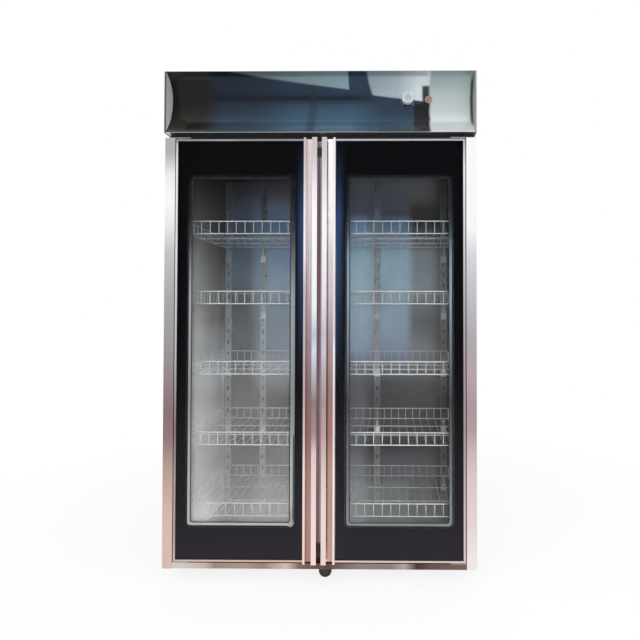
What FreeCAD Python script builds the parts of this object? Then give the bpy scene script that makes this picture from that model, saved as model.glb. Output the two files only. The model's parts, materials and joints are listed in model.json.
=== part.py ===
# Dish sterilizer cabinet: a tall stainless steel cabinet on casters with two glazed
# doors, ten wire baskets and a control header with a concave polished fascia.
# Frame: +Z up, +X to the viewer's right, doors face -Y, origin on the floor under the
# middle of the bounding box.  Millimetres.
import FreeCAD, Part
import math
import os
import re
import Sketcher
from FreeCAD import Placement, Rotation, Vector

SIZES = (
    # cabinet body
    ("cab_width", 1200, "over the side panels"),
    ("cab_height", 1965, "floor to the header's top"),
    ("door_plane", -280, "Y of the doors' front face"),
    ("back_plane", 300, "Y of the back panel's outer face"),
    ("body_bottom", 64, "underside of the body"),
    ("body_top", 1710, "top of the body"),
    ("skin", 1.2, "stainless sheet"),
    ("liner_skin", 0.8, "chamber sheet"),
    ("wall", 40, "insulated wall"),
    ("post_width", 40, "front face of a side panel"),
    ("bend_radius", 3, "outer radius of a sheet bend"),
    ("door_recess", 44, "door plane to face frame"),
    ("frame_depth", 12, "face frame, front to back"),
    ("sill_height", 23, "sill under the doors"),
    ("stile_width", 9.5, "face frame stile beside a wall"),
    ("mullion_half", 20, "half the centre mullion"),
    ("mullion_depth", 24, "mullion, front to back"),
    ("pan_thick", 2, "base pan"),
    ("tube_play", 0.5, "holes around the ozone tube"),
    ("catch_half", 6, "half a catch's width"),
    ("catch_deep", 8, "catch in front of the mullion"),
    ("catch_high", 34, "magnetic catch"),
    ("catch_top", 1651, "upper catch, lower edge"),
    ("catch_low", 108, "lower catch, lower edge"),
    # header
    ("header_bottom", 1728, "underside of the header"),
    ("header_overhang", 12, "header in front of the doors"),
    ("neck_recess", 45, "plinth behind the door plane"),
    ("plinth_width", 20, "plinth bar"),
    ("cheek_width", 7.5, "front edge of a header cheek"),
    ("cheek_depth", 68, "folded inner leg of a cheek"),
    ("cheek_round", 1.6, "bend of a cheek's front edge"),
    ("fit_gap", 0.1, "sheets beside a cheek"),
    ("cove_depth", 60, "depth of the concave fascia"),
    ("cove_axis", 1877, "height of the deepest line"),
    ("cove_lip", 7, "flat lip under the cove"),
    # doors
    ("door_edge", 557, "|X| of a door's hinge side"),
    ("door_gap_half", 8.5, "half the gap between the doors"),
    ("door_low", 90, "underside of the doors"),
    ("door_high", 1707, "top of the doors"),
    ("door_thick", 34, "frame, without the gasket"),
    ("trim", 8, "visible door trim"),
    ("rear_flange", 28, "frame behind the glass"),
    ("rear_thick", 11, "thickness of the rear flange"),
    ("handle_edge", 61, "|X| where the handle profile starts"),
    ("glass_set", 1.5, "outer glass behind the trim"),
    ("outer_glass", 5, "outer pane"),
    ("inner_glass", 4, "inner pane"),
    ("gasket_width", 16, "magnetic gasket"),
    ("gasket_thick", 8, "magnetic gasket"),
    ("win_in", 96, "|X| of the window's inner edge"),
    ("win_out", 513, "|X| of the window's outer edge"),
    ("win_low", 219, "window, bottom edge"),
    ("win_high", 1574, "window, top edge"),
    ("win_radius", 20, "window corner"),
    ("spacer_show", 7, "spacer inside the window's edge"),
    ("spacer_width", 12, "spacer bar"),
    ("seal_inset", 1, "gasket inside a door's outer side"),
    ("seal_end", 3, "gasket inside a door's top and bottom"),
    ("seal_meet", 4, "gasket beside the gap"),
    ("edge_round", 1.5, "front edge of a door rail"),
    # handle profile
    ("lip_proud", 20, "handle lip in front of the door plane"),
    ("lip_width", 20, "handle lip"),
    ("lip_thick", 3, "handle lip"),
    ("web_thick", 5, "web behind the lip"),
    ("groove_edge", 52, "|X| where the finger groove starts"),
    ("groove_sink", 6, "groove floor behind the door plane"),
    ("rim_proud", 16, "handle rim in front of the door plane"),
    ("lip_round", 2, "outer edge of the handle lip"),
    ("lip_ease", 1.2, "inner edge of the handle lip"),
    # hinges
    ("pivot_in", 11.5, "pivot from the door's edge"),
    ("pivot_back", 8, "pivot behind the door plane"),
    ("pin_radius", 4, "hinge pin"),
    ("pin_play", 0.05, "radial clearance of a pin"),
    ("pin_bite", 7.5, "pin inside the rail"),
    ("hinge_thick", 2.2, "hinge plate"),
    ("hinge_reach", 500, "|X| of a hinge plate's free end"),
    ("hinge_deep", 40, "hinge plate, front to back"),
    ("hinge_gap", 0.3, "lower hinge plate beside a post"),
    ("bore_deep", 0.5, "hinge bore past its pin"),
    # baskets
    ("levels", 5, "baskets one above the other"),
    ("rim_top", 1399, "rim of the highest basket"),
    ("level_pitch", 277.5, "from rim to rim"),
    ("fence", 49, "basket depth"),
    ("basket_in", 30.5, "|X| of a basket's inner side"),
    ("basket_out", 549.5, "|X| of a basket's outer side"),
    ("basket_front", -222, "Y of the front rim"),
    ("basket_back", 245, "Y of the back rim"),
    ("rim_wire", 2.5, "radius of rim and frame wires"),
    ("side_wire", 2.3, "radius of the floor's side wires"),
    ("cross_wire", 2.1, "radius of the floor's cross wires"),
    ("rod_wire", 1.6, "radius of rods and uprights"),
    ("side_inset", 3.2, "side wire inside a basket's side"),
    ("end_inset", 2, "first upright inside a basket's side"),
    ("rod_lift", 0.3, "rods above the floor frame's middle"),
    ("weld_gap", 0.1, "between a fence and the floor frame"),
    ("rods", 14, "rods across a basket"),
    ("side_rods", 12, "uprights in a side fence"),
    # shelf uprights and clips
    ("upright_width", 30, "perforated upright"),
    ("upright_thick", 8, "perforated upright"),
    ("upright_sheet", 1.5, "sheet of an upright"),
    ("slot_pitch", 55.5, "perforations"),
    ("slots", 22, "perforations in an upright"),
    ("slot_half", 4, "half a perforation's width"),
    ("slot_high", 18, "perforation"),
    ("slot_drop", 30, "first perforation below the top basket"),
    ("post_a", -527, "X of the first upright"),
    ("post_b", -356, "X of the second upright"),
    ("post_c", 203, "X of the third upright"),
    ("post_d", 527, "X of the fourth upright"),
    ("clip_drop", 107, "clip below the rim it carries"),
    ("clip_high", 34, "clip plate"),
    ("clip_arm", 3, "radius of a clip's arm"),
    ("clip_half", 13, "half a clip plate's width"),
    ("clip_sheet", 2.5, "clip plate"),
    ("clip_under", 24, "arm under the basket's back"),
    ("stem_half", 3, "half a clip stem's width"),
    ("stem_thick", 5, "clip stem"),
    ("clip_gap", 0.1, "arm below the basket"),
    # controls
    ("knob_x", 337, "timer knob"),
    ("knob_radius", 23, "timer knob"),
    ("knob_long", 21, "timer knob"),
    ("knob_skirt", 6, "height of the knob's skirt"),
    ("knob_ease", 3, "slope under the skirt"),
    ("knob_step", 2, "grip inside the skirt"),
    ("knob_chamfer", 1.5, "front edge of the grip"),
    ("mark_half", 2.2, "half the knob's ridge"),
    ("mark_proud", 1.5, "ridge in front of the grip"),
    ("mark_start", 3, "ridge above the knob's middle"),
    ("knob_gap", 4.5, "knob in front of the fascia"),
    ("shaft_radius", 3, "timer shaft"),
    ("shaft_long", 24, "shaft behind the knob"),
    ("nose_wall", 2, "timer nose around the shaft"),
    ("nose_play", 0.5, "hole around the nose"),
    ("timer_half", 28, "half the timer unit"),
    ("timer_set", 3, "timer unit behind the fascia"),
    ("timer_deep", 39, "timer unit, front to back"),
    ("lamp_x", 419, "indicator lamp"),
    ("lamp_radius", 14.5, "lamp bezel"),
    ("barrel_radius", 12.5, "lamp barrel"),
    ("barrel_wall", 1.5, "lamp barrel"),
    ("barrel_long", 14, "barrel behind the fascia"),
    ("barrel_play", 0.3, "hole around the barrel"),
    ("bezel_step", 2.2, "straight edge of the bezel"),
    ("bezel_proud", 3.4, "bezel in front of the fascia"),
    ("bezel_seat", 1.3, "bezel's back behind the deepest line"),
    ("lens_back", 3, "lens behind the bezel's back"),
    ("lens_proud", 6, "lens in front of the bezel's back"),
    # ozone outlet and heater
    ("duct_radius", 12, "ozone outlet tube"),
    ("duct_y", 90, "ozone outlet tube"),
    ("duct_show", 12, "ozone tube inside the chamber"),
    ("ozone_half_x", 70, "half the ozone generator's width"),
    ("ozone_half_y", 60, "half the ozone generator's depth"),
    ("ozone_high", 80, "ozone generator"),
    ("wiring_left", 150, "wiring box, left side"),
    ("wiring_wide", 140, "wiring box"),
    ("wiring_front", -120, "wiring box, front"),
    ("wiring_deep", 100, "wiring box"),
    ("wiring_high", 90, "wiring box"),
    ("tube_radius", 7, "quartz heater tube"),
    ("tube_half", 430, "half a heater tube"),
    ("tube_lift", 34, "tube above the chamber floor"),
    ("tube_y", -140, "front heater tube"),
    ("tube_pitch", 60, "between the heater tubes"),
    ("foot_half_x", 8, "half a tube foot's width"),
    ("foot_half_y", 12, "half a tube foot's depth"),
    ("foot_over", 12, "tube foot above the tube's middle"),
    # casters
    ("wheel_radius", 25, "caster wheel"),
    ("wheel_half", 9, "half a wheel's width"),
    ("axle_radius", 3, "caster axle"),
    ("trail", 15, "axle behind the swivel"),
    ("fork_sheet", 2, "fork leg"),
    ("fork_gap", 1, "leg beside the wheel"),
    ("plate_thick", 2.5, "caster plate"),
    ("kingpin_radius", 4, "swivel pin"),
    ("plate_half_x", 26, "half a caster plate's width"),
    ("plate_half_y", 20, "half a caster plate's depth"),
    ("tyre_gap", 1.5, "fork over the wheel"),
    ("fork_front", 13, "fork in front of the swivel"),
    ("fork_rear", 9, "fork behind the axle"),
    ("fork_skirt", 6, "front edge of a fork leg"),
    ("leg_low", 7, "leg below the axle"),
    ("leg_half", 5, "half a leg's lower end"),
    ("leg_slope", 5, "height of the leg's sloped corner"),
    ("race_radius", 14, "swivel bearing"),
    ("race_gap", 0.4, "bearing below the plate"),
    ("kingpin_gap", 0.3, "swivel pin below the body"),
    ("axle_head", 1.5, "axle outside a leg"),
    ("hub_radius", 10, "wheel hub"),
    ("hub_ease", 1, "edge of the wheel hub"),
    ("dish", 2, "wheel's side behind its hub"),
    ("tread_in", 7, "inner edge of the tyre"),
    ("tread_slope", 2, "slope at the inner edge of the tyre"),
    ("tread_set", 0.5, "tyre's side behind the hub"),
    ("tread_round", 3, "shoulder of the tyre"),
    ("caster_x", 500, "corner casters"),
    ("caster_front", -145, "front corner casters"),
    ("caster_rear", 215, "rear corner casters"),
    ("middle_y", -208, "middle front caster"),
    ("gland_x", -480, "cable gland"),
    ("gland_y", 262, "cable gland"),
    ("gland_bore", 5, "cable gland"),
    ("gland_nut", 9.5, "nut's outer end"),
    ("gland_tip", 8, "gland's lower end"),
    ("gland_body", 12, "widest part of the nut"),
    ("gland_flange", 14, "flange under the base pan"),
    ("gland_step", 5, "flange under the base pan"),
    ("gland_skirt", 12, "nut below the base pan"),
    ("gland_long", 20, "gland below the base pan"),
    ("through", 40, "length of a cutting tool"),
)

doc = FreeCAD.newDocument("sterilizer_cabinet")
sheet = doc.addObject("Spreadsheet::Sheet", "Sizes")
for row, (alias, size, note) in enumerate(SIZES, 1):
    sheet.set("A%d" % row, alias)
    sheet.set("B%d" % row, str(size))
    sheet.set("C%d" % row, note)
    sheet.setAlias("B%d" % row, alias)
doc.recompute()
ALIASES = {alias for alias, _, _ in SIZES}
NODES = []


# ---- helpers: everything is bound to the sheet through these ----------------------

def bound(text):
    """An expression on the sheet's aliases, as FreeCAD reads it."""
    def placed(word):
        return "Sizes." + word.group() if word.group() in ALIASES else word.group()
    return re.sub(r"[a-z][a-z_0-9]*", placed, text)


def number(text):
    """The present value of such an expression."""
    return float(sheet.evalExpression(bound(text)))


def tie(thing, **places):
    """Binds properties (dots written as double underscores) to expressions."""
    for name, text in places.items():
        thing.setExpression(name.replace("__", "."), bound(text))


def node(name, thing):
    """Names a finished sub-part; its file has the same name."""
    thing.Label = name
    NODES.append(thing)
    return thing


def box(x, y, z, name="block"):
    """A block from (low, high) pairs."""
    block = doc.addObject("Part::Box", name)
    tie(block, Length="(%s) - (%s)" % (x[1], x[0]), Width="(%s) - (%s)" % (y[1], y[0]),
        Height="(%s) - (%s)" % (z[1], z[0]), Placement__Base__x=x[0], Placement__Base__y=y[0],
        Placement__Base__z=z[0])
    return block


TURNS = {"x": Rotation(Vector(0, 1, 0), 90), "y": Rotation(Vector(1, 0, 0), -90), "z": Rotation()}


def rod(axis, radius, start, length, name="rod"):
    """A round bar from its start point along +x, +y or +z."""
    bar = doc.addObject("Part::Cylinder", name)
    bar.Placement = Placement(Vector(), TURNS[axis])
    tie(bar, Radius=radius, Height=length, Placement__Base__x=start[0], Placement__Base__y=start[1],
        Placement__Base__z=start[2])
    return bar


def joined(members, name="joined"):
    """One solid from several."""
    whole = doc.addObject("Part::MultiFuse", name)
    whole.Shapes = members
    return whole


def cut(base, tool, name="cut"):
    rest = doc.addObject("Part::Cut", name)
    rest.Base = base
    rest.Tool = tool
    return rest


def group(members, name="group", at=None, turn=0):
    """Separate solids kept together, moved by at and turned about Z."""
    whole = doc.addObject("Part::Compound", name)
    whole.Links = members
    if turn:
        whole.Placement = Placement(Vector(), Rotation(Vector(0, 0, 1), turn))
    if at:
        tie(whole, Placement__Base__x=at[0], Placement__Base__y=at[1], Placement__Base__z=at[2])
    return whole


def mirrored(source, name="mirrored"):
    """The same piece on the other side of the YZ plane."""
    copy = doc.addObject("Part::Mirroring", name)
    copy.Source = source
    copy.Normal = Vector(1, 0, 0)
    return copy


def plane_of(body, role):
    return next(f for f in body.Origin.OriginFeatures if f.Role == role)


def draw(sketch, corners):
    """A closed outline.  A corner is (x, y), (x, y, radius) for a rounded right angle, or
    (x, y, None, radius) where an arc of that radius runs to the next corner, counter-clockwise
    unless the radius text starts with a minus.  Every joint is tied to the sheet."""
    spots = [(number(c[0]), number(c[1])) for c in corners]
    count = len(corners)
    joints = []
    for i, corner in enumerate(corners):
        if len(corner) == 3:
            r = number(corner[2])
            before, here, after = spots[i - 1], spots[i], spots[(i + 1) % count]
            ends = []
            for other in (before, after):
                step = [o - h for o, h in zip(other, here)]
                long = math.hypot(*step)
                way = [round(s / long) for s in step]
                ends.append((["(%s) + (%d) * (%s)" % (corner[k], way[k], corner[2]) for k in (0, 1)],
                             [here[k] + way[k] * r for k in (0, 1)]))
            middle = [ends[0][1][k] + ends[1][1][k] - here[k] for k in (0, 1)]
            joints.append((ends[0], (middle, r, corner[2])))
            joints.append((ends[1], None))
        elif len(corner) == 4:
            after = spots[(i + 1) % count]
            sign = -1 if corner[3].startswith("-") else 1
            text = corner[3].lstrip("-")
            r = number(text)
            across = Vector(after[0] - spots[i][0], after[1] - spots[i][1], 0)
            side = Vector(-across.y, across.x, 0).normalize() * sign
            rise = math.sqrt(r * r - across.Length ** 2 / 4)
            middle = Vector(*spots[i], 0) + across / 2 + side * rise
            joints.append(((corner[:2], spots[i]), ((middle.x, middle.y), r, text)))
        else:
            joints.append(((corner[:2], spots[i]), None))
    pieces = []
    for i, ((texts, spot), arc) in enumerate(joints):
        nxt = joints[(i + 1) % len(joints)][0][1]
        if arc is None:
            index = sketch.addGeometry(Part.LineSegment(Vector(*spot, 0), Vector(*nxt, 0)))
            pieces.append((index, 1, 2))
            continue
        centre, r, text = arc
        start = math.atan2(spot[1] - centre[1], spot[0] - centre[0])
        end = math.atan2(nxt[1] - centre[1], nxt[0] - centre[0])
        forward = (end - start) % (2 * math.pi) < math.pi
        if not forward:
            start, end = end, start
        if end < start:
            end += 2 * math.pi
        circle = Part.Circle(Vector(*centre, 0), Vector(0, 0, 1), r)
        index = sketch.addGeometry(Part.ArcOfCircle(circle, start, end))
        pieces.append((index, 1, 2) if forward else (index, 2, 1))
        which = sketch.addConstraint(Sketcher.Constraint("Radius", index, r))
        sketch.setExpression("Constraints[%d]" % which, bound(text))
    for i, (index, first, last) in enumerate(pieces):
        after = pieces[(i + 1) % len(pieces)]
        sketch.addConstraint(Sketcher.Constraint("Coincident", index, last, after[0], after[1]))
        (texts, spot), _ = joints[i]
        for kind, text, size in (("DistanceX", texts[0], spot[0]), ("DistanceY", texts[1], spot[1])):
            which = sketch.addConstraint(Sketcher.Constraint(kind, index, first, size))
            sketch.setExpression("Constraints[%d]" % which, bound(text))


def extruded(plane, outlines, start, length, name="profile"):
    """A body padded from a sketch on an origin plane, along that plane's normal."""
    body = doc.addObject("PartDesign::Body", name)
    sketch = body.newObject("Sketcher::SketchObject", name + "_sketch")
    sketch.AttachmentSupport = (plane_of(body, plane), [""])
    sketch.MapMode = "FlatFace"
    tie(sketch, AttachmentOffset__Base__z=start)
    for corners in outlines:
        draw(sketch, corners)
    pad = body.newObject("PartDesign::Pad", name + "_pad")
    pad.Profile = sketch
    tie(pad, Length=length)
    body.Tip = pad
    return body


def turned(corners, name="turned"):
    """A body revolved about Z from a half section (radius, height)."""
    body = doc.addObject("PartDesign::Body", name)
    sketch = body.newObject("Sketcher::SketchObject", name + "_sketch")
    sketch.AttachmentSupport = (plane_of(body, "XZ_Plane"), [""])
    sketch.MapMode = "FlatFace"
    draw(sketch, corners)
    turn = body.newObject("PartDesign::Revolution", name + "_turn")
    turn.Profile = sketch
    turn.ReferenceAxis = (sketch, ["V_Axis"])
    turn.Angle = 360
    body.Tip = turn
    return body


# ---- places that several sub-parts share ------------------------------------------

HALF = "cab_width / 2"
FACE = "door_plane + door_recess"                      # front of the face frame
FRAME_BACK = "door_plane + door_recess + frame_depth"
SIDE_IN = "cab_width / 2 - wall"                       # chamber wall
CHAMBER_BACK = "back_plane - wall"
FLOOR = "body_bottom + wall"
CEILING = "body_top - wall"
HEADER_FRONT = "door_plane - header_overhang"
COVE = "door_plane - header_overhang + cove_depth"     # deepest line of the fascia
PANEL_BACK = "back_plane - 2 * skin"                   # inside of the rear flanges


def both_ways(text):
    return "-(%s)" % text, text


# ---- body shell -------------------------------------------------------------------

def side_panel():
    """Left side: outer skin, front post with its return, rear flange, all one sheet."""
    left = "-(%s)" % HALF
    outer = [
        (left, "door_plane", "bend_radius"),
        (left + " + post_width", "door_plane", "bend_radius"),
        (left + " + post_width", FACE),
        (left + " + post_width - skin", FACE),
        (left + " + post_width - skin", "door_plane + skin", "bend_radius - skin"),
        (left + " + skin", "door_plane + skin", "bend_radius - skin"),
        (left + " + skin", PANEL_BACK),
        (left + " + post_width / 2", PANEL_BACK),
        (left + " + post_width / 2", "back_plane - skin"),
        (left, "back_plane - skin"),
    ]
    panel = extruded("XY_Plane", [outer], "body_bottom", "body_top - body_bottom", "side_panel")
    node("side_panel_left", panel)
    node("side_panel_right", mirrored(panel))


def shell():
    tall = ("body_bottom", "body_top")
    node("back_panel", box(both_ways(HALF), ("back_plane - skin", "back_plane"), tall))
    inside = both_ways(HALF + " - skin")
    deck = box(inside, (FACE, PANEL_BACK), ("body_top - skin", "body_top"))
    node("roof_panel", cut(deck, duct_hole("body_top")))
    node("base_pan", box(inside, (FACE, PANEL_BACK), ("body_bottom", "body_bottom + pan_thick")))
    sill = [
        ("door_plane", "body_bottom", "bend_radius"),
        (FACE, "body_bottom"),
        (FACE, "body_bottom + sill_height"),
        ("door_plane", "body_bottom + sill_height", "bend_radius"),
    ]
    node("sill_rail", extruded("YZ_Plane", [sill], "-(%s)" % SIDE_IN, "2 * (%s)" % SIDE_IN, "sill"))


def duct_hole(height):
    """What is cut away around the ozone tube, half of it on each side of a height."""
    start = "%s - through / 2" % height
    return rod("z", "duct_radius + tube_play", ("0", "duct_y", start), "through", "duct")


def face_frame():
    """Front of the insulated chamber: two rails, two stiles and the mullion."""
    deep = (FACE, FRAME_BACK)
    high = (FLOOR, CEILING)
    across = both_ways(SIDE_IN)
    left = box(("-(%s)" % SIDE_IN, "-(%s) + stile_width" % SIDE_IN), deep, high)
    node("face_frame", group([
        box(across, deep, (CEILING, "body_top - skin")),
        box(across, deep, ("body_bottom + pan_thick", FLOOR)),
        left,
        mirrored(left),
        box(both_ways("mullion_half"), (FACE, FACE + " + mullion_depth"), high),
    ]))
    wide = both_ways("catch_half")
    node("magnet_catches", group([box(wide, (FACE + " - catch_deep", FACE), (low, low + " + catch_high"))
                                  for low in ("catch_top", "catch_low")]))


def chamber():
    """Liner sheets and the foam behind them."""
    deep = (FRAME_BACK, CHAMBER_BACK)
    across = both_ways(SIDE_IN)
    wall_in = "-(%s) - liner_skin" % SIDE_IN
    back = CHAMBER_BACK + " + liner_skin"
    left = box((wall_in, "-(%s)" % SIDE_IN), (FRAME_BACK, back), (FLOOR, CEILING))
    ceiling = box(across, deep, (CEILING, CEILING + " + liner_skin"))
    node("liner", group([
        left,
        mirrored(left),
        box(across, (CHAMBER_BACK, back), (FLOOR, CEILING)),
        box(across, deep, (FLOOR + " - liner_skin", FLOOR)),
        cut(ceiling, duct_hole(CEILING)),
    ]))
    tall = ("body_bottom + pan_thick", "body_top - skin")
    foam = box(("-(%s) + skin" % HALF, wall_in), (FACE, PANEL_BACK), tall)
    between = both_ways(SIDE_IN + " + liner_skin")
    lid = box(between, (FRAME_BACK, back), (CEILING + " + liner_skin", tall[1]))
    node("insulation", group([
        foam,
        mirrored(foam),
        box(between, (back, PANEL_BACK), tall),
        box(between, (FRAME_BACK, back), (tall[0], FLOOR + " - liner_skin")),
        cut(lid, duct_hole("(%s + body_top) / 2" % CEILING)),
    ]))


# ---- header -----------------------------------------------------------------------

def header_box():
    """Plinth, floor, folded cheeks and the cover that closes top and back."""
    left = "-(%s)" % HALF
    front = box(both_ways(HALF), ("door_plane + neck_recess", "door_plane + neck_recess + plinth_width"),
                ("body_top", "header_bottom"))
    rear = box(both_ways(HALF), ("back_plane - plinth_width", "back_plane"), ("body_top", "header_bottom"))
    side = box((left, left + " + plinth_width"),
               ("door_plane + neck_recess + plinth_width", "back_plane - plinth_width"),
               ("body_top", "header_bottom"))
    node("header_plinth", group([front, rear, side, mirrored(side)]))

    inner = HALF + " - cheek_width"
    floor = box(both_ways(inner + " - fit_gap"), (HEADER_FRONT, "back_plane - skin"),
                ("header_bottom", "header_bottom + skin"))
    node("header_soffit", cut(floor, duct_hole("header_bottom")))

    fold = [
        (left, HEADER_FRONT, "cheek_round"),
        (left + " + cheek_width", HEADER_FRONT, "cheek_round"),
        (left + " + cheek_width", HEADER_FRONT + " + cheek_depth"),
        (left + " + cheek_width - skin", HEADER_FRONT + " + cheek_depth"),
        (left + " + cheek_width - skin", HEADER_FRONT + " + skin"),
        (left + " + skin", HEADER_FRONT + " + skin"),
        (left + " + skin", "back_plane - skin"),
        (left, "back_plane - skin"),
    ]
    cheek = extruded("XY_Plane", [fold], "header_bottom", "cab_height - skin - header_bottom", "cheek")
    node("header_cheek_left", cheek)
    node("header_cheek_right", mirrored(cheek))

    cover = [
        (HEADER_FRONT, "cab_height - skin"),
        ("back_plane - skin", "cab_height - skin"),
        ("back_plane - skin", "header_bottom"),
        ("back_plane", "header_bottom"),
        ("back_plane", "cab_height", "bend_radius"),
        (HEADER_FRONT, "cab_height"),
    ]
    node("header_cover", extruded("YZ_Plane", [cover], left, "cab_width", "cover"))


def fascia():
    """Concave sheet: a flat lip, then two arcs that meet at the deepest line."""
    low = "header_bottom + cove_lip"
    high = "cab_height - skin"
    drop = "(cove_axis - (%s))" % low
    rise = "(%s - cove_axis)" % high
    big = "((%s ^ 2 + cove_depth ^ 2) / (2 * cove_depth))" % drop
    small = "((%s ^ 2 + cove_depth ^ 2) / (2 * cove_depth))" % rise
    back_low = "%s - %s + sqrt((%s + skin) ^ 2 - %s ^ 2)" % (COVE, big, big, drop)
    back_high = "%s - %s + sqrt((%s + skin) ^ 2 - %s ^ 2)" % (COVE, small, small, rise)
    section = [
        (HEADER_FRONT, "header_bottom + skin"),
        (HEADER_FRONT, low, None, big),
        (COVE, "cove_axis", None, small),
        (HEADER_FRONT, high),
        (back_high, high, None, "-(%s + skin)" % small),
        (COVE + " + skin", "cove_axis", None, "-(%s + skin)" % big),
        (back_low, low),
        (HEADER_FRONT + " + skin", "header_bottom + skin"),
    ]
    inner = HALF + " - cheek_width - fit_gap"
    bent = extruded("YZ_Plane", [section], "-(%s)" % inner, "2 * (%s)" % inner, "fascia")
    start = COVE + " - through / 2"
    holes = joined([
        rod("y", "shaft_radius + nose_wall + nose_play", ("knob_x", start, "cove_axis"), "through"),
        rod("y", "barrel_radius + barrel_play", ("lamp_x", start, "cove_axis"), "through"),
    ])
    node("header_fascia", cut(bent, holes))


def controls():
    """Timer behind the fascia, its knob in front, and the indicator lamp."""
    case = box(("knob_x - timer_half", "knob_x + timer_half"),
               (COVE + " + timer_set", COVE + " + timer_set + timer_deep"),
               ("cove_axis - timer_half", "cove_axis + timer_half"))
    nose = rod("y", "shaft_radius + nose_wall", ("knob_x", COVE + " - timer_set", "cove_axis"),
               "3 * timer_set")
    bore = rod("y", "shaft_radius + pin_play", ("knob_x", COVE + " - 2 * timer_set", "cove_axis"),
               "shaft_long + 2 * timer_set")
    node("timer_unit", cut(joined([case, nose]), bore))

    edge = "knob_radius - knob_step"
    half = [
        ("0", "0"),
        ("knob_radius - knob_ease", "0"),
        ("knob_radius", "knob_ease"),
        ("knob_radius", "knob_skirt"),
        (edge, "knob_skirt + knob_ease"),
        (edge, "knob_long - knob_chamfer"),
        (edge + " - knob_chamfer", "knob_long"),
        ("0", "knob_long"),
    ]
    knob = turned(half, "knob")
    knob.Placement = Placement(Vector(), Rotation(Vector(1, 0, 0), 90))
    tie(knob, Placement__Base__x="knob_x", Placement__Base__y=COVE + " - knob_gap",
        Placement__Base__z="cove_axis")
    shaft = rod("y", "shaft_radius", ("knob_x", COVE + " - knob_gap - knob_step", "cove_axis"),
                "knob_gap + shaft_long")
    tip = COVE + " - knob_gap - knob_long"
    ridge = box(("knob_x - mark_half", "knob_x + mark_half"), (tip + " - mark_proud", tip + " + knob_step"),
                ("cove_axis + mark_start", "cove_axis + knob_radius - 2 * knob_step"))
    node("timer_knob", joined([knob, shaft, ridge]))

    inside = "barrel_radius - barrel_wall"
    flange = turned([
        (inside, "-barrel_long"),
        ("barrel_radius", "-barrel_long"),
        ("barrel_radius", "0"),
        ("lamp_radius", "0"),
        ("lamp_radius", "bezel_step"),
        ("lamp_radius - bezel_proud + bezel_step", "bezel_proud"),
        (inside, "bezel_proud"),
    ], "bezel")
    rim = inside + " - fit_gap"
    lens = turned([
        ("0", "-lens_back"),
        (rim, "-lens_back"),
        (rim, "lens_proud - barrel_wall"),
        (rim + " - 2 * barrel_wall", "lens_proud"),
        ("0", "lens_proud"),
    ], "lens")
    for name, piece in (("lamp_bezel", flange), ("lamp_lens", lens)):
        piece.Placement = Placement(Vector(), Rotation(Vector(1, 0, 0), 90))
        tie(piece, Placement__Base__x="lamp_x", Placement__Base__y=COVE + " - bezel_seat",
            Placement__Base__z="cove_axis")
        node(name, piece)


def services():
    """Wiring box, ozone generator with its outlet, heater tubes and the cable gland."""
    deck = "header_bottom + skin"
    node("control_box", box(("wiring_left", "wiring_left + wiring_wide"),
                            ("wiring_front", "wiring_front + wiring_deep"),
                            (deck, deck + " + wiring_high")))
    case = box(both_ways("ozone_half_x"), ("duct_y - ozone_half_y", "duct_y + ozone_half_y"),
               (deck, deck + " + ozone_high"))
    outlet = rod("z", "duct_radius", ("0", "duct_y", CEILING + " - duct_show"),
                 "header_bottom - (%s) + 2 * duct_show" % CEILING)
    node("ozone_generator", joined([case, outlet]))
    heaters = []
    for index in (0, 1):
        y = "tube_y + %d * tube_pitch" % index
        tube = rod("x", "tube_radius", ("-tube_half", y, FLOOR + " + tube_lift"), "2 * tube_half")
        deep = (y + " - foot_half_y", y + " + foot_half_y")
        high = (FLOOR, FLOOR + " + tube_lift + foot_over")
        feet = [box((x + " - foot_half_x", x + " + foot_half_x"), deep, high) for x in both_ways("tube_half")]
        heaters.append(joined([tube] + feet))
    node("heater_tubes", group(heaters))
    gland = turned([
        ("gland_bore", "-gland_long"),
        ("gland_tip", "-gland_long"),
        ("gland_nut", "-gland_skirt"),
        ("gland_body", "-gland_skirt"),
        ("gland_body", "-gland_step"),
        ("gland_flange", "-gland_step"),
        ("gland_flange", "0"),
        ("gland_bore", "0"),
    ], "gland")
    tie(gland, Placement__Base__x="gland_x", Placement__Base__y="gland_y", Placement__Base__z="body_bottom")
    node("cable_gland", gland)


# ---- doors ------------------------------------------------------------------------

PIVOT_X = "door_edge - pivot_in"
PIVOT_Y = "door_plane + pivot_back"
DOOR_BACK = "door_plane + door_thick"


def hinge_plates():
    """A plate and pin over and under each door's hinge side."""
    deep = ("door_plane", "door_plane + hinge_deep")
    low = "body_bottom + sill_height"
    upper = joined([
        box(("-(%s)" % HALF, "-hinge_reach"), deep, ("body_top", "body_top + hinge_thick")),
        rod("z", "pin_radius", ("-(%s)" % PIVOT_X, PIVOT_Y, "door_high - pin_bite"),
            "body_top + hinge_thick - door_high + pin_bite"),
    ])
    lower = joined([
        box(("-(%s) + hinge_gap" % SIDE_IN, "-hinge_reach"), deep, (low, low + " + hinge_thick")),
        rod("z", "pin_radius", ("-(%s)" % PIVOT_X, PIVOT_Y, low), "door_low + pin_bite - (%s)" % low),
    ])
    node("hinge_plates", group([upper, lower, mirrored(upper), mirrored(lower)]))


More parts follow.
